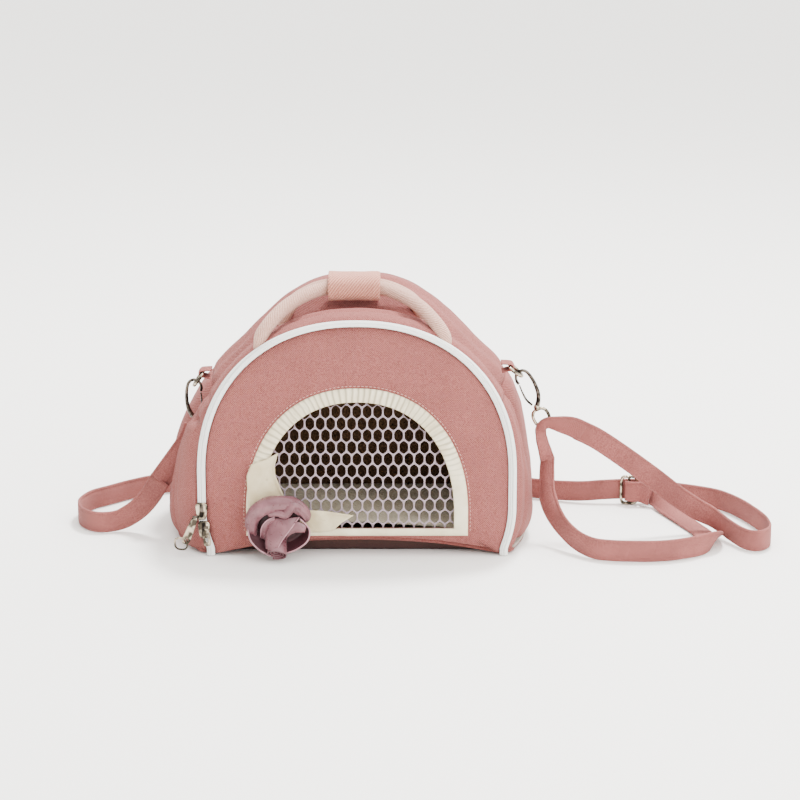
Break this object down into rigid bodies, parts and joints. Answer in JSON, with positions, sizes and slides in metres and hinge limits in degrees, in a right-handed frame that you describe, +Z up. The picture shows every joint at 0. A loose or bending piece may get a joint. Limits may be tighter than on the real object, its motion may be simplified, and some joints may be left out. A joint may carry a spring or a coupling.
{
  "type": "pet carrier bag",
  "caption": "Small dome-shaped soft pet carrier: zipped front door with a mesh window and a fabric rose, rolled handles in a wrap, and a hooked-on shoulder strap.",
  "frame": {"origin": "on the surface the bag stands on, under the middle of the bag's box (the shoulder strap, its hooks and adjuster not counted)", "axes": "+Z up; -Y is the way the door and its window face; +X to the right as seen facing the door"},
  "size_m": [0.486, 0.17, 0.187],
  "materials": {
    "canvas": "woven cotton canvas, matt",
    "strap_webbing": "folded and edge-stitched canvas",
    "lining": "plain woven lining, matt",
    "board": "stiffening board",
    "mesh": "knitted hexagonal mesh",
    "ribbon": "pleated satin ribbon",
    "leaf_ribbon": "satin ribbon",
    "satin": "satin ribbon with a soft sheen",
    "zip": "woven tape with moulded coil teeth",
    "handle_webbing": "rolled webbing",
    "wrap_cloth": "woven cloth",
    "nickel": "plated, satin"
  },
  "bodies": {
    "bag": {"side_panel_left": "canvas", "side_panel_right": "canvas", "top_panel": "canvas", "lining": "lining", "back_panel": "canvas", "back_lining": "lining", "base_panel": "canvas", "base_board": "board", "floor_pad": "lining", "zip_tape_body": "zip", "ring_tab_left": "canvas", "ring_tab_right": "canvas", "strap_long": "strap_webbing", "strap_loop": "strap_webbing", "strap_end_left": "strap_webbing", "strap_fold_right": "strap_webbing", "strap_sewn_end": "strap_webbing"},
    "door": {"door_panel": "canvas", "window_mesh": "mesh", "door_lining": "lining", "window_trim": "ribbon", "zip_tape_door": "zip", "slider_lower": "nickel", "rose_outer_petals": "satin", "rose_inner_petals": "satin", "rose_bud": "satin", "leaf_upper": "leaf_ribbon", "leaf_lower": "leaf_ribbon"},
    "slider_upper": {"slider_upper": "nickel"},
    "pull_tab_upper": {"pull_tab_upper": "nickel"},
    "pull_ring": {"pull_ring": "nickel"},
    "pull_tab_lower": {"pull_tab_lower": "nickel"},
    "handles": {"handle_front": "handle_webbing", "handle_rear": "handle_webbing", "handle_wrap": "wrap_cloth"},
    "hook_left": {"d_ring_left": "nickel", "hook_left": "nickel", "hook_eye_left": "nickel"},
    "gate_left": {"hook_gate_left": "nickel"},
    "hook_right": {"d_ring_right": "nickel", "hook_right": "nickel", "hook_eye_right": "nickel"},
    "gate_right": {"hook_gate_right": "nickel"},
    "adjuster": {"adjuster": "nickel"}
  },
  "joints": [
    {"name": "door_hinge", "type": "hinge", "parent": "bag", "child": "door", "pos_m": [0, -0.056, 0.003], "axis": [1, 0, 0], "range_deg": [0, 90]},
    {"name": "slider_travel", "type": "slide", "parent": "door", "child": "slider_upper", "axis": [0, 0, 1], "range_m": [0, 0.018]},
    {"name": "pull_tab_upper_swing", "type": "hinge", "parent": "slider_upper", "child": "pull_tab_upper", "pos_m": [-0.1104, -0.0588, 0.0285], "axis": [-1, 0, 0], "range_deg": [0, 150]},
    {"name": "pull_ring_swing", "type": "hinge", "parent": "pull_tab_upper", "child": "pull_ring", "pos_m": [-0.1104, -0.0588, 0.0117], "axis": [-1, 0, 0], "range_deg": [0, 10]},
    {"name": "pull_tab_lower_swing", "type": "hinge", "parent": "door", "child": "pull_tab_lower", "pos_m": [-0.1026, -0.0588, 0.021], "axis": [-1, 0, 0], "range_deg": [0, 150]},
    {"name": "handle_lift", "type": "slide", "parent": "bag", "child": "handles", "axis": [0, 0, 1], "range_m": [0, 0.01]},
    {"name": "hook_swing_left", "type": "hinge", "parent": "bag", "child": "hook_left", "pos_m": [-0.1065, -0.006, 0.1165], "axis": [0, 1, 0], "range_deg": [0, 10], "deforming": ["strap_end_left"]},
    {"name": "gate_left_spring", "type": "hinge", "parent": "hook_left", "child": "gate_left", "pos_m": [-0.11746, -0.006, 0.08759], "axis": [0, -1, 0], "range_deg": [0, 18], "stiffness_Nm_per_rad": 0.02, "springref_deg": -17.19},
    {"name": "hook_swing_right", "type": "hinge", "parent": "bag", "child": "hook_right", "pos_m": [0.1045, -0.006, 0.121], "axis": [0, -1, 0], "range_deg": [0, 10], "deforming": ["strap_fold_right"]},
    {"name": "gate_right_spring", "type": "hinge", "parent": "hook_right", "child": "gate_right", "pos_m": [0.11757, -0.006, 0.09403], "axis": [0, 1, 0], "range_deg": [0, 18], "stiffness_Nm_per_rad": 0.02, "springref_deg": -17.19},
    {"name": "adjuster_slide", "type": "slide", "parent": "bag", "child": "adjuster", "axis": [-1, 0, 0], "range_m": [0, 0.012], "deforming": ["strap_sewn_end"]}
  ]
}
